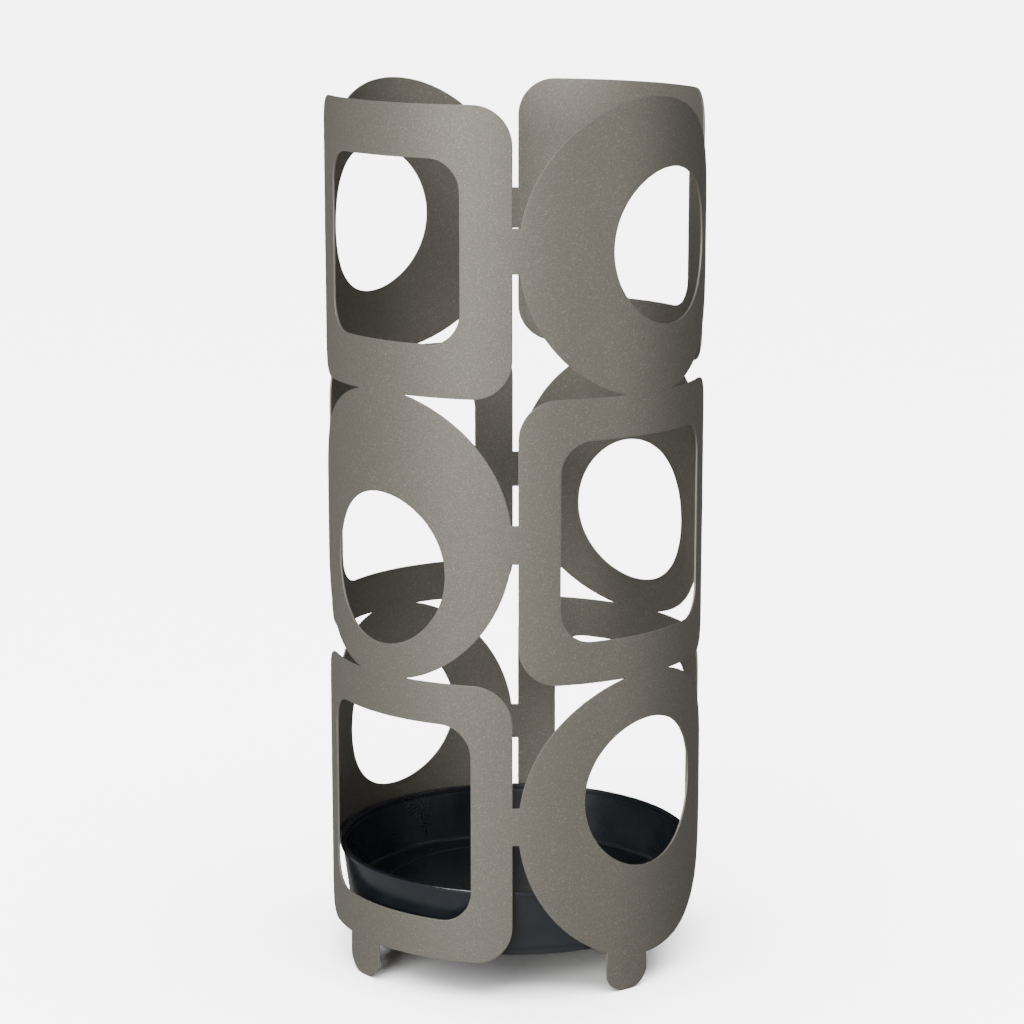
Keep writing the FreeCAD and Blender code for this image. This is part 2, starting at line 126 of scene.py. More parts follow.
class ShellSizes(bpy.types.PropertyGroup):
    """The rolled sheet-steel shell."""

    radius: length("Shell radius", "Outside radius of the shell", farthest_radius("front_panel"))
    thickness: length("Sheet thickness", "Thickness of the rolled sheet", 0.0012)
    bottom_row: length("Bottom row", "Height of the bottom row of shapes", 0.164)
    middle_row: length("Middle row", "Height of the middle row of shapes", 0.1625)
    top_row: length("Top row", "Height of the top row of shapes", 0.161)
    slit: length("Slit", "Width of the narrow gap beside a seam", 0.0032)
    side_gap: length("Side gap", "Width of the wide gap between two squares", 0.02)
    disc_side_gap: length("Disc side gap", "Width of the wide gap between two discs", 0.012)
    square_corner: length("Square corner", "Corner radius of the squares", 0.0225)
    neck_overlap: length("Neck overlap", "How far a disc runs into the row above or below", 0.002)
    top_disc_rise: length("Top disc rise", "How far the top discs stand above the squares", 0.0025)
    bottom_disc_drop: length("Bottom disc drop", "How far the bottom discs hang below the squares", 0.003)
    top_band: length("Top frame band", "Width of the frame round a top window", 0.0295)
    lower_band: length("Lower frame band", "Width of the frame round the other windows", 0.024)
    window_corner: length("Window corner", "Corner radius of the windows", 0.0185)
    hole: length("Disc hole", "Diameter of the hole in a disc", 0.0875)
    top_hole_shift: length("Top hole shift", "How far a top hole sits towards the wide gap", 0.0165)
    middle_hole_drop: length("Middle hole drop", "How far a middle hole sits below the middle", 0.0195)
    bottom_hole_rise: length("Bottom hole rise", "How far a bottom hole sits above the middle", 0.0125)
    tab_height: length("Tab height", "Height of the tabs that join two panels", 0.022)
    top_tab_extra: length("Top tab extra", "How much higher the top tabs reach", 0.003)
    tab_overlap: length("Tab overlap", "How far a tab runs into its shape", 0.006)
    seam: length("Seam width", "Width of the weld between two tabs", 0.0008)
    foot_angle: angle("Foot angle", "Angle from a panel's left seam to its foot", 36.2)
    foot_length: length("Foot length", "Height of the shell's lower edge", 0.0225)
    foot_width: length("Foot width", "Width of a foot", 0.029)
    foot_flat: length("Foot flat", "Width of the flat that a foot stands on", 0.004)
    foot_end_rise: length("Foot end rise", "Height of the round end of a foot", 0.009)
    foot_overlap: length("Foot overlap", "How far a foot runs up into its panel", 0.012)
    edge_round: length("Edge round", "Radius along every cut edge", 0.00028)
    facet: angle("Facet", "Turn of the rolled sheet between two upright mesh lines", 1.5)
    mesh_rise: length("Mesh rise", "Height between two level mesh lines", 0.008)
    curve_step: length("Curve step", "Longest step along a round outline", 0.0022)


class BarSizes(bpy.types.PropertyGroup):
    """The cross of flat bars that carries the tray."""

    width: length("Bar width", "Width of the flat bars", 0.02)
    thickness: length("Bar thickness", "Thickness of the flat bars", 0.003)
    bend: length("Bar bend", "Inside radius of the bends", 0.003)
    upturn: length("Bar upturn", "Height of the turned-up ends", 0.015)
    corner: length("Bar corner", "Radius along the bars' long edges", 0.0005)
    bead: length("Bead radius", "Radius of the weld beads at the shell", 0.002)
    bead_length: length("Bead length", "Length of the weld beads at the shell", 0.008)
    under_bead: length("Under bead radius", "Radius of the weld beads under the cross", 0.0015)
    under_bead_inset: length("Under bead inset", "Bare length at each end of an under bead", 0.002)
    ripple: length("Weld ripple", "Length of one ripple along a bead", 0.0011)


class TraySizes(bpy.types.PropertyGroup):
    """The moulded drip tray."""

    rim: length("Rim radius", "Outside radius of the lip", farthest_radius("drip_tray"))
    taper: length("Taper", "How far the wall leans in from the lip to the ledge", 0.0043)
    wall: length("Wall", "Thickness of the wall", 0.0018)
    floor: length("Floor", "Thickness of the floor", 0.002)
    recess: length("Recess", "Height of the floor above the foot band's lower edge", 0.0065)
    band_wall: length("Foot band wall", "Thickness of the band that the tray stands on", 0.0022)
    band_height: length("Foot band height", "Height of the narrower band at the base", 0.0064)
    band_step: length("Foot band step", "Width of the ledge above the foot band", 0.0038)
    lip_depth: length("Lip depth", "Height of the lip", 0.0026)
    lip_overhang: length("Lip overhang", "How far the lip stands out from the wall", 0.0012)
    inner_step_depth: length("Inner step depth", "Depth below the rim of the step inside", 0.0035)
    inner_step: length("Inner step", "Width of the step inside", 0.0004)
    floor_ring_inset: length("Floor ring inset", "Gap between the wall and the floor ring", 0.015)
    floor_ring_width: length("Floor ring width", "Width of the ring on the floor", 0.003)
    floor_ring_height: length("Floor ring height", "Height of the ring on the floor", 0.0008)
    lip_round: length("Lip round", "Radius along the lip", 0.0007)
    base_round: length("Base round", "Radius under the base", 0.0012)
    floor_round: length("Floor round", "Radius where the wall meets the floor", 0.0025)
    small_round: length("Small round", "Radius along the small steps", 0.0003)
    segments: count("Segments", "Mesh faces round the tray", 288)


class CoatLook(bpy.types.PropertyGroup):
    """The warm grey metallic powder coat."""

    base: colour("Coat", "Main colour of the coat", (0.216, 0.204, 0.172))
    dark: colour("Coat shade", "Colour of the darker grains", (0.182, 0.171, 0.144))
    fleck: colour("Coat fleck", "Colour of the bright metal flecks", (0.330, 0.308, 0.258))
    # The cut-edge colour is a painted highlight: a lighter tone laid along the rounded cut edges, where
    # they catch the light.
    edge: colour("Cut edge", "Colour of the thin coat on the cut edges", (0.300, 0.278, 0.242))
    metallic: share("Coat metallic", "How metallic the coat is", 0.55)
    roughness: share("Coat roughness", "Roughness of the coat", 0.6)
    grain: length("Coat grain", "Size of the coat's grain", 0.0007)
    relief: length("Coat relief", "Height of the coat's grain", 0.00003)


class PlasticLook(bpy.types.PropertyGroup):
    """The tray's glossy plastic."""

    base: colour("Plastic", "Colour of the plastic", (0.0065, 0.0095, 0.0135))
    haze: colour("Plastic haze", "Colour of the faint haze on the plastic", (0.012, 0.016, 0.021))
    roughness: share("Plastic roughness", "Roughness of the plastic", 0.3)
    scratch: length("Scratch spacing", "Spacing of the fine scratches", 0.0012)


class StageLook(bpy.types.PropertyGroup):
    """Floor, lights and camera."""

    floor: colour("Floor", "Colour of the floor", (0.9, 0.9, 0.9))
    floor_size: length("Floor size", "Width of the floor", 90.0)
    floor_light: number("Floor light", "Strength of the even light on the floor", 22.0)
    backdrop: number("Backdrop", "Brightness of the backdrop beyond the floor", 7.0)
    sky_strength: number("Sky strength", "Strength of the even light from above", 0.02)
    ground_strength: number("Ground strength", "Strength of the even light from below", 0.36)
    key_power: number("Key power", "Power of the large light at the front left, in watts", 163.0)
    top_power: number("Top power", "Power of the light overhead, in watts", 8.0)
    fill_power: number("Fill power", "Power of the light at the right, in watts", 17.0)
    distance: length("Camera distance", "Distance from the axis to the camera", 1.7371)
    height: length("Camera height", "Height of the camera", 0.6335)
    azimuth: angle("Camera azimuth", "Direction to the camera, from -Y towards +X", 45)
    tilt: angle("Camera tilt", "How far the camera looks down", 12.028)
    turn: angle("Camera turn", "How far the camera looks to the left of the axis", 0.067)
    lens: number("Camera lens", "Focal length on a 36 mm sensor, in millimetres", 105.94)


# ---------------------------------------------------------------- flat outlines
# Each outline is a list of points, anticlockwise, drawn in from its own edge by an inset.


def arc(x, y, radius, start, end, step):
    """Points round part of a circle, ends included, from one angle to another in degrees."""
    sweep = math.radians(end - start)
    pieces = max(2, math.ceil(abs(sweep) * radius / step))
    turns = [math.radians(start) + sweep * index / pieces for index in range(pieces + 1)]
    return [(x + radius * math.cos(turn), y + radius * math.sin(turn)) for turn in turns]


def rounded_square(left, low, right, high, corner, step, inset=0.0):
    """A rectangle with round corners; the inset draws its edge in and tightens its corners."""
    radius = corner - inset
    points = []
    for x, y, start in (
        (right - corner, high - corner, 0),
        (left + corner, high - corner, 90),
        (left + corner, low + corner, 180),
        (right - corner, low + corner, 270),
    ):
        points += arc(x, y, radius, start, start + 90, step)
    return points


def oval(x, y, width, height, step, inset):
    half_width = width / 2 - inset
    half_height = height / 2 - inset
    pieces = math.ceil(math.pi * max(width, height) / step)
    turns = [2 * math.pi * index / pieces for index in range(pieces)]
    return [(x + half_width * math.cos(turn), y + half_height * math.sin(turn)) for turn in turns]


def strip(left, low, right, high, inset):
    """A band between two joints: its ends stay where they are, and its long edges draw in."""
    return [(left, low + inset), (right, low + inset), (right, high - inset), (left, high - inset)]


def foot(x, sizes, inset):
    """A tongue about x: straight sides, a round end below and a short flat to stand on."""
    half_width = sizes.foot_width / 2
    half_flat = sizes.foot_flat / 2
    reach = half_width - half_flat
    radius = (reach**2 + sizes.foot_end_rise**2) / (2 * sizes.foot_end_rise)
    sweep = math.degrees(math.asin((reach - inset) / (radius - inset)))
    top = sizes.foot_length + sizes.foot_overlap - inset
    right_end = arc(x + half_flat, radius, radius - inset, -90, -90 + sweep, sizes.curve_step)
    left_end = arc(x - half_flat, radius, radius - inset, -90 - sweep, -90, sizes.curve_step)
    return right_end + [(x + half_width - inset, top), (x - half_width + inset, top)] + left_end


def row_levels(sizes):
    """Floor and ceiling of each row."""
    low = sizes.foot_length
    levels = {}
    for row in ROWS:
        high = low + getattr(sizes, row + "_row")
        levels[row] = (low, high)
        low = high
    return levels


def tab_levels(row, low, high, sizes):
    """Bottom and top of a row's tabs, half way up the row."""
    tab_low = (low + high - sizes.tab_height) / 2
    extra = sizes.top_tab_extra if row == "top" else 0
    return tab_low, tab_low + sizes.tab_height + extra


def panel_outlines(pattern, sizes, inset):
    """The solid shapes and the windows of one panel, all drawn in by the same inset."""
    width = sizes.radius * math.pi / 2
    slit_on_left = pattern == "discs"
    outward = 1 if slit_on_left else -1
    step = sizes.curve_step
    solids = []
    windows = []
    for row, (low, high) in row_levels(sizes).items():
        is_disc = (row == "middle") != (pattern == "discs")
        slit_margin = sizes.slit / 2
        side_margin = (sizes.disc_side_gap if is_disc else sizes.side_gap) / 2
        left = slit_margin if slit_on_left else side_margin
        right = width - (side_margin if slit_on_left else slit_margin)
        if is_disc:
            rise = sizes.top_disc_rise if row == "top" else sizes.neck_overlap
            drop = sizes.bottom_disc_drop if row == "bottom" else sizes.neck_overlap
            x = (left + right) / 2
            y = (low - drop + high + rise) / 2
            shift = outward * sizes.top_hole_shift if row == "top" else 0
            lift = {"bottom": sizes.bottom_hole_rise, "middle": -sizes.middle_hole_drop}.get(row, 0)
            solids.append(oval(x, y, right - left, high + rise - low + drop, step, inset))
            windows.append(oval(x + shift, (low + high) / 2 + lift, sizes.hole, sizes.hole, step, -inset))
        else:
            band = sizes.top_band if row == "top" else sizes.lower_band
            solids.append(rounded_square(left, low, right, high, sizes.square_corner, step, inset))
            windows.append(rounded_square(
                left + band, low + band, right - band, high - band, sizes.window_corner, step, -inset
            ))
        tab_low, tab_high = tab_levels(row, low, high, sizes)
        solids.append(strip(sizes.seam / 2, tab_low, left + sizes.tab_overlap, tab_high, inset))
        solids.append(strip(right - sizes.tab_overlap, tab_low, width - sizes.seam / 2, tab_high, inset))
    solids.append(foot(sizes.radius * sizes.foot_angle, sizes, inset))
    return solids, windows


def seam_outlines(sizes, inset):
    """The three weld strips of one seam, drawn about the seam's own line."""
    half = sizes.seam / 2
    solids = []
    for row, (low, high) in row_levels(sizes).items():
        tab_low, tab_high = tab_levels(row, low, high, sizes)
        solids.append(strip(-half, tab_low, half, tab_high, inset))
    return solids, []


# ---------------------------------------------------------------- rolled sheet

# Insets and depths of the three outlines that round a cut edge, as shares of its radius:
# the edge itself, half way round the quarter circle, and where the flat face starts.
EDGE_RINGS = ((0.0, 1.0), (1 - math.cos(math.pi / 4), 1 - math.sin(math.pi / 4)), (1.0, 0.0))
# how near two points are to be one, and how near a point is to a joint to lie on it
MERGE_DISTANCE = 1e-6
JOINT_NEARNESS = 1e-5
# output of the triangulator: whole faces between the lines, with edges added where a face has holes
WHOLE_FACES = 4


def grid_lines(low_x, high_x, low_y, high_y, across, up):
    """Upright lines that follow the sheet's bend and level lines that keep the mesh even."""
    points = []
    x = math.ceil(low_x / across) * across
    while x < high_x:
        points += [(x, low_y), (x, high_y)]
        x += across
    y = math.ceil(low_y / up) * up
    while y < high_y:
        points += [(low_x, y), (high_x, y)]
        y += up
    return points


def sound_mesh(name, verts, faces):
    """A mesh that is whole as given: it has faces, and none of them need mending."""
    mesh = bpy.data.meshes.new(name)
    mesh.from_pydata(verts, [], faces)
    if not mesh.polygons or mesh.validate():
        raise RuntimeError(f"the mesh of {name} is empty or broken")
    return mesh


def flat_mesh(outlines_at, sizes, joints):
    """A flat mesh of the joined shapes less their windows.

    Returns its points, its faces, its border edges and each point's depth below the sheet's face.
    A border on one of the joints, which are x positions, stays square.
    """
    points = []
    loops = []
    solids = []
    windows = []
    for inset_share, _ in EDGE_RINGS:
        level_solids, level_windows = outlines_at(inset_share * sizes.edge_round)
        for shapes, found in ((level_solids, solids), (level_windows, windows)):
            numbers = set()
            for shape in shapes:
                numbers.add(len(loops))
                loops.append(list(range(len(points), len(points) + len(shape))))
                points += shape
            found.append(numbers)
    xs = [x for x, _ in points]
    ys = [y for _, y in points]
    border = sizes.mesh_rise
    lines = grid_lines(
        min(xs) - border, max(xs) + border, min(ys) - border, max(ys) + border,
        sizes.radius * sizes.facet, sizes.mesh_rise,
    )
    edges = [(len(points) + index, len(points) + index + 1) for index in range(0, len(lines), 2)]
    points += lines
    result = geometry.delaunay_2d_cdt(
        [Vector(point) for point in points], edges, loops, WHOLE_FACES, MERGE_DISTANCE, True
    )
    places, _, faces, _, _, sources = result

    def covered(source, level):
        inside = set(source)
        return bool(inside & solids[level]) and not inside & windows[level]

    kept = [(face, source) for face, source in zip(faces, sources) if covered(source, 0)]
    sides = [side for face, _ in kept for side in zip(face, face[1:] + face[:1])]
    known = set(sides)
    rim = [(start, end) for start, end in sides if (end, start) not in known]

    def at_joint(point):
        return any(abs(places[point].x - joint) < JOINT_NEARNESS for joint in joints)

    depths = {}
    half_round = EDGE_RINGS[1][1] * sizes.edge_round
    for face, source in kept:
        if not covered(source, 1):
            depths.update((point, half_round) for point in face)
    for start, end in rim:
        if not (at_joint(start) and at_joint(end)):
            depths[start] = depths[end] = sizes.edge_round
    return places, [face for face, _ in kept], rim, depths


def rolled(places, faces, rim, depths, sizes, seam_angle, mesh_name):
    """Roll a flat mesh into a sheet with its thickness, its cut edges rounded."""
    used = sorted({point for face in faces for point in face})
    outer = {point: index for index, point in enumerate(used)}
    inner = {point: index + len(used) for index, point in enumerate(used)}
    verts = []
    for radius, sign in ((sizes.radius, -1), (sizes.radius - sizes.thickness, 1)):
        for point in used:
            turn = math.radians(seam_angle) + places[point].x / sizes.radius
            reach = radius + sign * depths.get(point, 0)
            verts.append((reach * math.cos(turn), reach * math.sin(turn), places[point].y))
    polygons = [[outer[point] for point in face] for face in faces]
    polygons += [[inner[point] for point in reversed(face)] for face in faces]
    polygons += [[outer[end], outer[start], inner[start], inner[end]] for start, end in rim]
    mesh = sound_mesh(mesh_name, verts, polygons)
    # cut_edge marks the points of the rounded cut edges, where the coat paints a highlight
    edge = mesh.attributes.new("cut_edge", "FLOAT", "POINT")
    edge.data.foreach_set("value", [1.0 if point in depths else 0.0 for point in used] * 2)
    return mesh


def finished_piece(name, mesh, body, nodes, material):
    """Make a mesh into a piece of the stand: smooth, coated, and standing for its CAD nodes."""
    piece = bpy.data.objects.new(name, mesh)
    bpy.context.scene.collection.objects.link(piece)
    mesh.shade_smooth()
    mesh.set_sharp_from_angle(angle=SHARP_ANGLE)
    normals = piece.modifiers.new("even_shading", "WEIGHTED_NORMAL")
    normals.mode = "FACE_AREA"
    normals.keep_sharp = True
    mesh.materials.append(material)
    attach(piece, body)
    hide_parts(*nodes)


# ---------------------------------------------------------------- bars and welds

# steps along a bend, and how much a sharp turn may widen a swept section
BEND_STEPS = 8
LEAST_TURN = 0.5
# a bead's mesh, the depth of its ripples, and how thin and how blunt its ends are
BEAD_SIDES = 20
LEAST_RINGS = 8
RIPPLE_STEPS = 6
RIPPLE_DEPTH = 0.08
BEAD_TIP = 0.04
BEAD_BLUNTNESS = 6
# where the beads stop inside the sheet, as a share of its thickness from the outside
BEAD_SINK = 0.75


def swept(path, across, section):
    """Verts and faces of a section carried along a path in one plane, with its ends closed."""
    verts = []
    for index, place in enumerate(path):
        before = path[max(index - 1, 0)]
        after = path[min(index + 1, len(path) - 1)]
        along = (after - before).normalized()
        up = across.cross(along)
        turn = 1.0
        if 0 < index < len(path) - 1:
            turn = 1 / max(LEAST_TURN, math.cos((place - before).angle(after - place) / 2))
        verts += [place + across * side + up * (rise * turn) for side, rise in section]
    size = len(section)
    faces = []
    for ring in range(len(path) - 1):
        for index in range(size):
            following = (index + 1) % size
            low, high = ring * size, (ring + 1) * size
            faces.append([low + index, high + index, high + following, low + following])
    faces.append(list(range(size)))
    faces.append([len(verts) - 1 - index for index in range(size)])
    return verts, faces


def bar_section(sizes):
    """Outline of a flat bar cut across, with its long edges eased."""
    half_width = sizes.width / 2
    half_thickness = sizes.thickness / 2
    return rounded_square(
        -half_width, -half_thickness, half_width, half_thickness, sizes.corner, sizes.corner / 3
    )


def bar_path(start, reach, floor, sizes):
    """Centre line of a bar along +X: level, then a round bend, then up to the top of its end."""
    bend = sizes.bend + sizes.thickness / 2
    far = reach - sizes.thickness / 2
    middle = floor + sizes.thickness / 2
    corner = arc(far - bend, middle + bend, bend, -90, 0, bend / BEND_STEPS)
    path = [Vector((start, 0, middle))]
    path += [Vector((x, 0, z)) for x, z in corner]
    path.append(Vector((far, 0, floor + sizes.upturn)))
    return path


def cross_places(shell, bars):
    """Angle of the cross, how far its ends reach, and the height of its underside."""
    inner = shell.radius - shell.thickness
    reach = math.sqrt(inner**2 - (bars.width / 2) ** 2)
    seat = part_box("drip_tray")[0].z
    return shell.foot_angle - math.pi / 4, reach, seat - bars.thickness


def placed_mesh(name, parts, turn):
    """One mesh from several (verts, faces) parts, turned about the shell's axis."""
    rotation = Matrix.Rotation(turn, 3, "Z")
    verts = []
    faces = []
    for part_verts, part_faces in parts:
        faces += [[index + len(verts) for index in face] for face in part_faces]
        verts += [rotation @ vert for vert in part_verts]
    return sound_mesh(name, verts, faces)


def weld_bead(start, end, radius, ripple, farthest):
    """A hand-laid bead: a rippled, lens-ended tube that stops at the shell's inner face."""
    along = (end - start).normalized()
    side = Vector((0, 0, 1)) if abs(along.z) < 0.5 else Vector((1, 0, 0))
    side = (side - along * side.dot(along)).normalized()
    other = along.cross(side)
    total = (end - start).length
    rings = max(LEAST_RINGS, int(total / ripple * RIPPLE_STEPS))
    verts = []
    for ring in range(rings + 1):
        travel = total * ring / rings
        taper = math.sqrt(max(BEAD_TIP, 1 - abs(2 * ring / rings - 1) ** BEAD_BLUNTNESS))
        wave = 1 - RIPPLE_DEPTH + RIPPLE_DEPTH * abs(math.cos(math.pi * travel / ripple))
        for index in range(BEAD_SIDES):
            turn = 2 * math.pi * index / BEAD_SIDES
            bulge = radius * taper * wave
            place = start + along * travel + (side * math.cos(turn) + other * math.sin(turn)) * bulge
            reach = math.hypot(place.x, place.y)
            if reach > farthest:
                place.x *= farthest / reach
                place.y *= farthest / reach
            verts.append(place)
    faces = []
    for ring in range(rings):
        for index in range(BEAD_SIDES):
            following = (index + 1) % BEAD_SIDES
            low, high = ring * BEAD_SIDES, (ring + 1) * BEAD_SIDES
            faces.append([low + index, low + following, high + following, high + index])
    faces.append(list(reversed(range(BEAD_SIDES))))
    faces.append([rings * BEAD_SIDES + index for index in range(BEAD_SIDES)])
    return verts, faces


# ---------------------------------------------------------------- tray


def rounded_profile(corners, step):
    """Points along a closed outline of (x, y, round) corners."""
    points = []
    for index, (x, y, radius) in enumerate(corners):
        here = Vector((x, y))
        before = Vector(corners[index - 1][:2]) - here
        after = Vector(corners[(index + 1) % len(corners)][:2]) - here
        half = before.angle(after) / 2
        if radius == 0:
            points.append((x, y))
            continue
        cut = radius / math.tan(half)
        start = here + before.normalized() * cut
        end = here + after.normalized() * cut
        centre = here + (before.normalized() + after.normalized()).normalized() * (radius / math.sin(half))
        pieces = max(3, math.ceil((math.pi - 2 * half) * radius / step))
        first = start - centre
        for piece in range(pieces + 1):
            swing = first.angle_signed(end - centre) * piece / pieces
            points.append(tuple(centre + Matrix.Rotation(-swing, 2) @ first))
    return points


def turned_mesh(name, profile, segments, base):
    """Turn a profile of (radius, height) points, both ends on the axis, about Z."""
    verts = [(0, 0, base + profile[0][1])]
    inner = profile[1:-1]
    for radius, height in inner:
        for index in range(segments):
            turn = 2 * math.pi * index / segments
            verts.append((radius * math.cos(turn), radius * math.sin(turn), base + height))
    verts.append((0, 0, base + profile[-1][1]))
    faces = []
    for index in range(segments):
        following = (index + 1) % segments
        faces.append([0, 1 + following, 1 + index])
        for ring in range(len(inner) - 1):
            low = 1 + ring * segments
            high = low + segments
            faces.append([low + index, low + following, high + following, high + index])
        last = 1 + (len(inner) - 1) * segments
        faces.append([last + index, last + following, len(verts) - 1])
    return sound_mesh(name, verts, faces)


def tray_corners(sizes, height):
    """The tray's section as (radius, height, round) corners, from under the floor, round the wall."""
    rim = sizes.rim
    ledge = rim - sizes.lip_overhang - sizes.taper
    band = ledge - sizes.band_step
    lip_inner = rim - sizes.lip_overhang - sizes.wall
    corner = ledge - sizes.wall
    floor = sizes.recess + sizes.floor
    ring_outer = corner - sizes.floor_ring_inset
    ring_inner = ring_outer - sizes.floor_ring_width
    ring_top = floor + sizes.floor_ring_height
    small = sizes.small_round
    return [
        (0, sizes.recess, 0),
        (band - sizes.band_wall, sizes.recess, small),
        (band - sizes.band_wall, 0, small),
        (band, 0, sizes.base_round),
        (band, sizes.band_height, small),
        (ledge, sizes.band_height, small),
        (rim - sizes.lip_overhang, height - sizes.lip_depth, small),
        (rim, height - sizes.lip_depth, small),
        (rim, height, sizes.lip_round),
        (lip_inner, height, sizes.lip_round),
        (lip_inner, height - sizes.inner_step_depth, small),
        (lip_inner - sizes.inner_step, height - sizes.inner_step_depth, small),
        (corner, floor, sizes.floor_round),
        (ring_outer, floor, small),
        (ring_outer, ring_top, small),
        (ring_inner, ring_top, small),
        (ring_inner, floor, small),
        (0, floor, 0),
    ]


# ---------------------------------------------------------------- materials


class Nodes:
    """Short calls that add nodes to one material and link them."""

    def __init__(self, material):
        material.use_nodes = True
        self.tree = material.node_tree
        self.shader = self.tree.nodes["Principled BSDF"]
        self.place = self.tree.nodes.new("ShaderNodeTexCoord").outputs["Object"]

    def link(self, value, socket):
        """Join a node's output to a socket, or set the socket to a plain value."""
        if isinstance(value, bpy.types.NodeSocket):
            self.tree.links.new(value, socket)
        elif isinstance(value, tuple) and len(value) == 3:
            socket.default_value = (*value, 1.0) if len(socket.default_value) == 4 else value
        else:
            socket.default_value = value

    def set(self, socket_name, value):
        """Give a value to the shader itself."""
        self.link(value, self.shader.inputs[socket_name])

    def noise(self, grain, detail=2.0, stretch=(1, 1, 1), distortion=0.0):
        """Noise whose features are about one grain across."""
        mapping = self.tree.nodes.new("ShaderNodeMapping")
        mapping.inputs["Scale"].default_value = stretch
        self.link(self.place, mapping.inputs["Vector"])
        node = self.tree.nodes.new("ShaderNodeTexNoise")
        node.inputs["Scale"].default_value = 1 / grain
        node.inputs["Detail"].default_value = detail
        node.inputs["Distortion"].default_value = distortion
        self.link(mapping.outputs["Vector"], node.inputs["Vector"])
        return node.outputs["Fac"]

    def cells(self, grain):
        """A random value for each small cell."""
        node = self.tree.nodes.new("ShaderNodeTexVoronoi")
        node.inputs["Scale"].default_value = 1 / grain
        self.link(self.place, node.inputs["Vector"])
        split = self.tree.nodes.new("ShaderNodeSeparateColor")
        self.link(node.outputs["Color"], split.inputs["Color"])
        return split.outputs["Red"]

    def span(self, value, low, high, to_low=0.0, to_high=1.0):
        """Map low..high to another range, and clamp it."""
        node = self.tree.nodes.new("ShaderNodeMapRange")
        self.link(value, node.inputs["Value"])
        limits = {"From Min": low, "From Max": high, "To Min": to_low, "To Max": to_high}
        for socket, amount in limits.items():
            node.inputs[socket].default_value = amount
        return node.outputs["Result"]

    def mix(self, factor, first, second):
        """Blend two colours."""
        node = self.tree.nodes.new("ShaderNodeMix")
        node.data_type = "RGBA"
        self.link(factor, node.inputs["Factor"])
        self.link(first, node.inputs["A"])
        self.link(second, node.inputs["B"])
        return node.outputs["Result"]

    def sum(self, first, second):
        """Add two numbers."""
        node = self.tree.nodes.new("ShaderNodeMath")
        self.link(first, node.inputs[0])
        self.link(second, node.inputs[1])
        return node.outputs["Value"]

    def bump(self, height, relief, strength, onto=None):
        """A relief from a height, laid over another relief if one is given."""
        node = self.tree.nodes.new("ShaderNodeBump")
        node.inputs["Strength"].default_value = strength
        node.inputs["Distance"].default_value = relief
        self.link(height, node.inputs["Height"])
        if onto is not None:
            self.link(onto, node.inputs["Normal"])
        return node.outputs["Normal"]

    def attribute(self, name):
        """A number kept on the mesh."""
        node = self.tree.nodes.new("ShaderNodeAttribute")
        node.attribute_name = name
        return node.outputs["Fac"]


def kept_material(name, make):
    """A material by name, made the first time it is asked for."""
    material = bpy.data.materials.get(name)
    if material is None:
        material = bpy.data.materials.new(name)
        make(Nodes(material))
    return material


# the sizes of the coat's clouds, flecks and orange peel, in grains
CLOUD_GRAINS = 55
FLECK_GRAINS = 0.9
PEEL_GRAINS = 3.2
# how much smoother and rougher than the coat its crests and hollows are
COAT_SMOOTHER = 0.06
COAT_ROUGHER = 0.07
# the plastic's haze and ripple, in metres, and the height of its ripple and scratches
HAZE_SIZE = 0.03
RIPPLE_SIZE = 0.012
RIPPLE_RELIEF = 0.0002
SCRATCH_RELIEF = 0.00002
# how much longer than wide the scratches are, as a squeeze along X
SCRATCH_STRETCH = (0.08, 1.0, 1.0)
# the most that rubbing roughens the plastic, and the range that the haze gives it
RUB_ROUGHER = 0.09
HAZE_SMOOTHER = 0.03
HAZE_ROUGHER = 0.06


def coat_nodes(nodes):
    """Powder coat: grains of two tones, bright flecks, a faint cloudiness and a fine orange peel, and a
    painted highlight along the cut edges.
    """
    look = bpy.context.scene.umbrella_stand_coat
    grain = nodes.noise(look.grain, detail=3.0)
    clouds = nodes.noise(look.grain * CLOUD_GRAINS, detail=2.0)
    flecks = nodes.cells(look.grain * FLECK_GRAINS)
    edge = nodes.attribute("cut_edge")
    tone = nodes.mix(nodes.span(grain, 0.36, 0.62), tuple(look.dark), tuple(look.base))
    tone = nodes.mix(nodes.span(clouds, 0.35, 0.7, 0.0, 0.16), tone, tuple(look.dark))
    tone = nodes.mix(nodes.span(flecks, 0.86, 0.97, 0.0, 0.55), tone, tuple(look.fleck))
    # painted highlight: the coat is lightened towards the cut-edge colour along the rounded cut edges
    tone = nodes.mix(nodes.span(edge, 0.1, 1.0, 0.0, 0.75), tone, tuple(look.edge))
    nodes.set("Base Color", tone)
    nodes.set("Metallic", look.metallic)
    low = look.roughness - COAT_SMOOTHER
    high = look.roughness + COAT_ROUGHER
    nodes.set("Roughness", nodes.span(grain, 0.3, 0.7, high, low))
    peel = nodes.noise(look.grain * PEEL_GRAINS, detail=1.0)
    normal = nodes.bump(peel, look.relief * 2, 0.45)
    nodes.set("Normal", nodes.bump(grain, look.relief, 0.6, onto=normal))


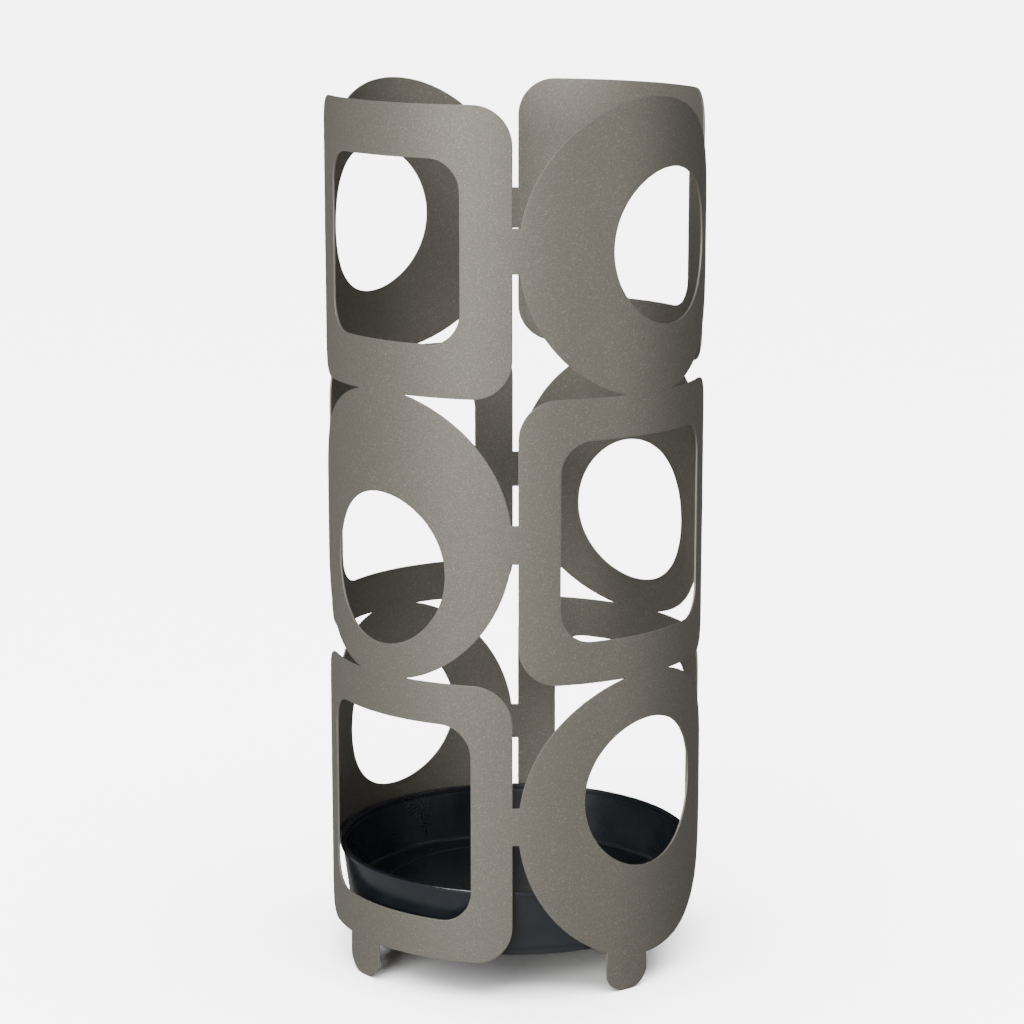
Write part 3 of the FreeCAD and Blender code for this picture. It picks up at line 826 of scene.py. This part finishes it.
def plastic_nodes(nodes):
    """Moulded plastic: nearly even, with a faint haze and fine rubbed scratches."""
    look = bpy.context.scene.umbrella_stand_plastic
    haze = nodes.noise(HAZE_SIZE, detail=4.0, distortion=0.6)
    scratches = nodes.noise(look.scratch, detail=3.0, stretch=SCRATCH_STRETCH, distortion=0.4)
    ripple = nodes.noise(RIPPLE_SIZE, detail=1.0)
    nodes.set("Base Color", nodes.mix(nodes.span(haze, 0.4, 0.75), tuple(look.base), tuple(look.haze)))
    rub = nodes.span(scratches, 0.55, 0.75, 0.0, RUB_ROUGHER)
    wipe = nodes.span(haze, 0.35, 0.7, look.roughness - HAZE_SMOOTHER, look.roughness + HAZE_ROUGHER)
    nodes.set("Specular IOR Level", 1.0)
    nodes.set("Roughness", nodes.sum(wipe, rub))
    normal = nodes.bump(ripple, RIPPLE_RELIEF, 0.12)
    nodes.set("Normal", nodes.bump(scratches, SCRATCH_RELIEF, 0.2, onto=normal))


def coat():
    return kept_material("grey_powder_coat", coat_nodes)


def plastic():
    return kept_material("dark_gloss_plastic", plastic_nodes)


# ---------------------------------------------------------------- operators


class UMBRELLA_STAND_OT_panels(bpy.types.Operator):
    """Make the four rolled panels with their windows, tabs and feet"""

    bl_idname = "umbrella_stand.panels"
    bl_label = "Panels"

    def execute(self, context):
        sizes = context.scene.umbrella_stand_shell
        width = sizes.radius * math.pi / 2
        joints = (sizes.seam / 2, width - sizes.seam / 2)
        flats = {}
        for pattern in ("squares", "discs"):
            flats[pattern] = flat_mesh(lambda inset: panel_outlines(pattern, sizes, inset), sizes, joints)
        for node, (pattern, seam_angle) in PANELS.items():
            name = node + "_sheet"
            mesh = rolled(*flats[pattern], sizes, seam_angle, name)
            finished_piece(name, mesh, "stand", [node], coat())
        return {"FINISHED"}


class UMBRELLA_STAND_OT_seam_welds(bpy.types.Operator):
    """Make the flush welds that close the four seams"""

    bl_idname = "umbrella_stand.seam_welds"
    bl_label = "Seam Welds"

    def execute(self, context):
        sizes = context.scene.umbrella_stand_shell
        joints = (-sizes.seam / 2, sizes.seam / 2)
        flat = flat_mesh(lambda inset: seam_outlines(sizes, inset), sizes, joints)
        for node, seam_angle in SEAMS.items():
            name = node + "_ground"
            mesh = rolled(*flat, sizes, seam_angle, name)
            finished_piece(name, mesh, "stand", [node], coat())
        return {"FINISHED"}


class UMBRELLA_STAND_OT_bars(bpy.types.Operator):
    """Make the cross of flat bars and its weld beads"""

    bl_idname = "umbrella_stand.bars"
    bl_label = "Bars and Beads"

    def execute(self, context):
        shell = context.scene.umbrella_stand_shell
        sizes = context.scene.umbrella_stand_bars
        turn, reach, floor = cross_places(shell, sizes)
        across = Vector((0, 1, 0))
        section = bar_section(sizes)
        half = sizes.width / 2

        right_half = bar_path(0, reach, floor, sizes)
        left_half = [Vector((-place.x, 0, place.z)) for place in reversed(right_half[1:])]
        short = bar_path(half, reach, floor, sizes)
        bars = {
            "long_support_bar": (left_half + right_half[1:], 0),
            "rear_support_bar": (short, math.pi / 2),
            "front_support_bar": (short, -math.pi / 2),
        }
        for node, (path, extra) in bars.items():
            name = node + "_flat_steel"
            mesh = placed_mesh(name, [swept(path, across, section)], turn + extra)
            finished_piece(name, mesh, "stand", [node], coat())

        farthest = shell.radius - shell.thickness * BEAD_SINK
        top = floor + sizes.upturn
        end_beads = []
        for quarter in range(4):
            rotation = Matrix.Rotation(quarter * math.pi / 2, 3, "Z")
            for side in (1, -1):
                foot_place = rotation @ Vector((reach, side * half, top - sizes.bead_length))
                head = rotation @ Vector((reach, side * half, top))
                end_beads.append(weld_bead(foot_place, head, sizes.bead, sizes.ripple, farthest))
        under_beads = []
        run = half - sizes.under_bead_inset
        for side in (1, -1):
            start = Vector((-run, side * half, floor))
            end = Vector((run, side * half, floor))
            under_beads.append(weld_bead(start, end, sizes.under_bead, sizes.ripple, farthest))
        for node, beads in (("bar_end_welds", end_beads), ("bar_centre_welds", under_beads)):
            name = node + "_beads"
            mesh = placed_mesh(name, beads, turn)
            finished_piece(name, mesh, "stand", [node], coat())
        return {"FINISHED"}


class UMBRELLA_STAND_OT_tray(bpy.types.Operator):
    """Make the moulded drip tray"""

    bl_idname = "umbrella_stand.tray"
    bl_label = "Drip Tray"

    def execute(self, context):
        sizes = context.scene.umbrella_stand_tray
        low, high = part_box("drip_tray")
        corners = tray_corners(sizes, high.z - low.z)
        profile = rounded_profile(corners, sizes.small_round / 2)
        name = "drip_tray_moulding"
        mesh = turned_mesh(name, profile, sizes.segments, low.z)
        finished_piece(name, mesh, "tray", ["drip_tray"], plastic())
        return {"FINISHED"}


# ---------------------------------------------------------------- stage

# each lamp: its power's property, its width and height, its azimuth from the camera's and its
# elevation in degrees, and its distance
LAMPS = {
    "key_light": ("key_power", 1.8, 2.0, -28, 22, 3.2),
    "top_light": ("top_power", 1.8, 1.8, 0, 86, 2.4),
    "fill_light": ("fill_power", 1.2, 1.6, 62, 6, 2.6),
}
# the spread of the floor's own light, in degrees
FLOOR_LIGHT_SPREAD = 80
BACKDROP_SIDES = 64
BACKDROP_DROP = 1.0
# how far the camera sees
SIGHT = 200.0
# the height at which the light from below gives way to the light from above, on a unit sphere
HORIZON = (-0.25, 0.15)


def aimed_light(name, power, width, height, azimuth, elevation, distance, target):
    """A soft rectangular light that points at a target from an azimuth and an elevation."""
    data = bpy.data.lights.new(name, "AREA")
    data.energy = power
    data.shape = "RECTANGLE"
    data.size = width
    data.size_y = height
    light = bpy.data.objects.new(name, data)
    level = distance * math.cos(elevation)
    rise = distance * math.sin(elevation)
    offset = Vector((level * math.sin(azimuth), -level * math.cos(azimuth), rise))
    light.location = target + offset
    light.rotation_euler = offset.to_track_quat("Z", "Y").to_euler()
    bpy.context.scene.collection.objects.link(light)


def floor_nodes(nodes):
    """Pale matt floor with a barely visible unevenness."""
    look = bpy.context.scene.umbrella_stand_stage
    shade = tuple(part * 0.985 for part in look.floor)
    nodes.set("Base Color", nodes.mix(nodes.noise(0.4), tuple(look.floor), shade))
    nodes.set("Roughness", 0.85)
    nodes.set("Specular IOR Level", 0.2)


def backdrop_nodes(nodes):
    """An even glow, so that the far edge of the floor doesn't show."""
    look = bpy.context.scene.umbrella_stand_stage
    nodes.set("Base Color", (0.0, 0.0, 0.0))
    nodes.set("Specular IOR Level", 0.0)
    nodes.set("Emission Color", tuple(look.floor))
    nodes.set("Emission Strength", look.backdrop)


def studio_world(look):
    """Even white light that is stronger from below the horizon than from above it."""
    world = bpy.data.worlds.new("studio_world")
    world.use_nodes = True
    tree = world.node_tree
    place = tree.nodes.new("ShaderNodeTexCoord")
    split = tree.nodes.new("ShaderNodeSeparateXYZ")
    span = tree.nodes.new("ShaderNodeMapRange")
    span.interpolation_type = "SMOOTHSTEP"
    span.inputs["From Min"].default_value, span.inputs["From Max"].default_value = HORIZON
    span.inputs["To Min"].default_value = look.ground_strength
    span.inputs["To Max"].default_value = look.sky_strength
    tree.links.new(place.outputs["Generated"], split.inputs["Vector"])
    tree.links.new(split.outputs["Z"], span.inputs["Value"])
    tree.links.new(span.outputs["Result"], tree.nodes["Background"].inputs["Strength"])
    tree.nodes["Background"].inputs["Color"].default_value = (1.0, 1.0, 1.0, 1.0)
    return world


class UMBRELLA_STAND_OT_stage(bpy.types.Operator):
    """Lay the floor and set the lights and the camera"""

    bl_idname = "umbrella_stand.stage"
    bl_label = "Stage"

    def execute(self, context):
        look = context.scene.umbrella_stand_stage
        self.lay_floor(look)
        self.set_lights(context, look)
        self.set_camera(context, look)
        return {"FINISHED"}

    def lay_floor(self, look):
        """A pale floor with a light of its own, and a plain backdrop beyond it.

        Neither throws light back on the stand, whose light comes from the lamps and the sky.
        """
        half = look.floor_size / 2
        corners = [(-half, -half, 0), (half, -half, 0), (half, half, 0), (-half, half, 0)]
        mesh = sound_mesh("studio_floor", corners, [(0, 1, 2, 3)])
        mesh.materials.append(kept_material("pale_studio_floor", floor_nodes))
        floor = bpy.data.objects.new("studio_floor", mesh)
        floor.visible_diffuse = False
        floor.visible_glossy = False

        sides = BACKDROP_SIDES
        ring = [2 * math.pi * index / sides for index in range(sides)]
        levels = (-BACKDROP_DROP, half)
        verts = [(half * math.cos(turn), half * math.sin(turn), z) for z in levels for turn in ring]
        following = [(index + 1) % sides for index in range(sides)]
        walls = [(index, after, sides + after, sides + index) for index, after in enumerate(following)]
        mesh = sound_mesh("studio_backdrop", verts, walls + [tuple(range(sides, 2 * sides))])
        mesh.materials.append(kept_material("plain_backdrop", backdrop_nodes))
        backdrop = bpy.data.objects.new("studio_backdrop", mesh)
        backdrop.visible_diffuse = False
        backdrop.visible_glossy = False
        backdrop.visible_shadow = False
        lit = bpy.data.collections.new("lit_by_floor_light")
        for piece in (floor, backdrop):
            bpy.context.scene.collection.objects.link(piece)
        lit.objects.link(floor)
        data = bpy.data.lights.new("floor_light", "SUN")
        data.energy = look.floor_light
        data.angle = math.radians(FLOOR_LIGHT_SPREAD)
        light = bpy.data.objects.new("floor_light", data)
        light.light_linking.receiver_collection = lit
        bpy.context.scene.collection.objects.link(light)

    def set_lights(self, context, look):
        context.scene.world = studio_world(look)
        middle = Vector((0, 0, (CAD_BOX[0][2] + CAD_BOX[1][2]) / 2))
        for name, (power, width, height, turn, rise, distance) in LAMPS.items():
            azimuth = look.azimuth + math.radians(turn)
            elevation = math.radians(rise)
            strength = getattr(look, power)
            aimed_light(name, strength, width, height, azimuth, elevation, distance, middle)

    def set_camera(self, context, look):
        data = bpy.data.cameras.new("studio_camera")
        data.sensor_width = 36.0
        data.lens = look.lens
        data.clip_end = SIGHT
        camera = bpy.data.objects.new("studio_camera", data)
        x = look.distance * math.sin(look.azimuth)
        y = -look.distance * math.cos(look.azimuth)
        camera.location = (x, y, look.height)
        camera.rotation_euler = (math.pi / 2 - look.tilt, 0, look.azimuth + look.turn)
        context.scene.collection.objects.link(camera)
        context.scene.camera = camera


class UMBRELLA_STAND_PT_sidebar(bpy.types.Panel):
    """Sizes, colours and operators of the umbrella stand"""

    bl_label = "Umbrella Stand"
    bl_idname = "UMBRELLA_STAND_PT_sidebar"
    bl_space_type = "VIEW_3D"
    bl_region_type = "UI"
    bl_category = "Umbrella Stand"

    def draw(self, context):
        layout = self.layout
        for operator in OPERATORS:
            layout.operator(operator.bl_idname)
        for name, group in GROUPS.items():
            box = layout.box()
            box.label(text=group.__doc__)
            settings = getattr(context.scene, name)
            for prop in group.__annotations__:
                box.prop(settings, prop)


OPERATORS = (
    UMBRELLA_STAND_OT_panels,
    UMBRELLA_STAND_OT_seam_welds,
    UMBRELLA_STAND_OT_bars,
    UMBRELLA_STAND_OT_tray,
    UMBRELLA_STAND_OT_stage,
)
GROUPS = {
    "umbrella_stand_shell": ShellSizes,
    "umbrella_stand_bars": BarSizes,
    "umbrella_stand_tray": TraySizes,
    "umbrella_stand_coat": CoatLook,
    "umbrella_stand_plastic": PlasticLook,
    "umbrella_stand_stage": StageLook,
}


def register():
    for group in GROUPS.values():
        bpy.utils.register_class(group)
    for name, group in GROUPS.items():
        setattr(bpy.types.Scene, name, bpy.props.PointerProperty(type=group))
    for operator in OPERATORS:
        bpy.utils.register_class(operator)
    bpy.utils.register_class(UMBRELLA_STAND_PT_sidebar)


def unregister():
    bpy.utils.unregister_class(UMBRELLA_STAND_PT_sidebar)
    for operator in reversed(OPERATORS):
        bpy.utils.unregister_class(operator)
    for name in GROUPS:
        delattr(bpy.types.Scene, name)
    for group in GROUPS.values():
        bpy.utils.unregister_class(group)


def main():
    register()
    bpy.ops.umbrella_stand.panels()
    bpy.ops.umbrella_stand.seam_welds()
    bpy.ops.umbrella_stand.bars()
    bpy.ops.umbrella_stand.tray()
    bpy.ops.umbrella_stand.stage()


if __name__ == "__main__":
    main()
